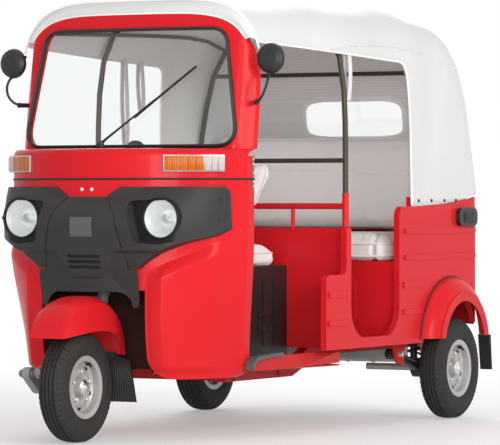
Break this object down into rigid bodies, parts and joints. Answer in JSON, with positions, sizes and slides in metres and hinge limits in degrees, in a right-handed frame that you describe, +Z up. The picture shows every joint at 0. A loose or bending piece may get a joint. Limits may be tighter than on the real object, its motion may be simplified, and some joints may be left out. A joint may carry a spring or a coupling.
{
  "type": "auto rickshaw",
  "caption": "Red auto rickshaw with a bowed nose, grey front mask, white fabric hood, open sides and a single steered front wheel.",
  "frame": {"origin": "on the ground, in the middle of the vehicle's box in plan", "axes": "+Z up, -Y is the front, +X is the vehicle's left"},
  "size_m": [1.3, 2.6347, 1.692],
  "materials": {
    "red_paint": "gloss",
    "grey_plastic": "fine grain",
    "black_plastic": "satin",
    "white_vinyl": "coated cloth",
    "hood_vinyl": "coated cloth, dotted grey lining",
    "bow_paint": "satin",
    "black_rubber": "matte",
    "tyre_rubber": "matte",
    "wheel_paint": "silver",
    "clear_glass": "clear",
    "lamp_lens": "fluted",
    "lamp_reflector": "polished",
    "amber_lens": "clear",
    "red_lens": "clear",
    "bare_steel": "galvanised",
    "engine_alloy": "cast"
  },
  "bodies": {
    "body": {"front_shield": "red_paint", "front_wheel_well": "red_paint", "front_cowl": "red_paint", "windscreen_frame": "red_paint", "windscreen_gasket": "black_rubber", "windscreen_glass": "clear_glass", "fascia_centre": "grey_plastic", "fascia_sides": "grey_plastic", "headlamp_bowls": "lamp_reflector", "headlamp_lenses": "lamp_lens", "front_indicators": "amber_lens", "wiper": "black_plastic", "mirrors": "black_plastic", "dashboard": "grey_plastic", "driver_floor": "red_paint", "foot_rail": "bare_steel", "chassis_rails": "red_paint", "passenger_floor": "red_paint", "partition": "red_paint", "driver_seat_box": "grey_plastic", "driver_cushion": "white_vinyl", "driver_backrest": "white_vinyl", "side_panel_left": "red_paint", "side_panel_right": "red_paint", "seat_box": "red_paint", "passenger_cushion": "white_vinyl", "passenger_backrest": "white_vinyl", "hood_bows": "bow_paint", "hood_rail": "red_paint", "hood": "hood_vinyl", "hood_visor": "hood_vinyl", "rear_window": "clear_glass", "rear_panel": "red_paint", "tail_lamps": "red_lens", "rear_bumper": "black_plastic", "rear_mudguards": "red_paint", "rear_flaps": "black_rubber", "air_scoops": "black_plastic", "engine": "engine_alloy", "trailing_arms": "bare_steel", "rear_dampers": "bare_steel", "silencer": "bare_steel"},
    "steering": {"steering_fork": "bare_steel", "handlebar": "black_plastic", "front_link": "bare_steel", "front_mudguard": "red_paint", "front_flap": "black_rubber"},
    "front_wheel": {"front_tyre": "tyre_rubber", "front_rim": "wheel_paint"},
    "rear_left_wheel": {"rear_left_tyre": "tyre_rubber", "rear_left_rim": "wheel_paint"},
    "rear_right_wheel": {"rear_right_tyre": "tyre_rubber", "rear_right_rim": "wheel_paint"},
    "lid": {"engine_lid": "red_paint"}
  },
  "joints": [
    {"name": "steering", "type": "hinge", "parent": "body", "child": "steering", "pos_m": [0, -1.1495, 0], "axis": [0, 0.4067, 0.9135], "range_deg": [-44, 44]},
    {"name": "front_wheel_spin", "type": "hinge", "parent": "steering", "child": "front_wheel", "pos_m": [0, -1.1095, 0.205], "axis": [1, 0, 0], "continuous": true},
    {"name": "rear_left_wheel_spin", "type": "hinge", "parent": "body", "child": "rear_left_wheel", "pos_m": [0.575, 0.8905, 0.205], "axis": [1, 0, 0], "continuous": true},
    {"name": "rear_right_wheel_spin", "type": "hinge", "parent": "body", "child": "rear_right_wheel", "pos_m": [-0.575, 0.8905, 0.205], "axis": [1, 0, 0], "continuous": true},
    {"name": "engine_lid", "type": "hinge", "parent": "body", "child": "lid", "pos_m": [0, 1.1975, 0.75], "axis": [1, 0, 0], "range_deg": [0, 75]}
  ]
}
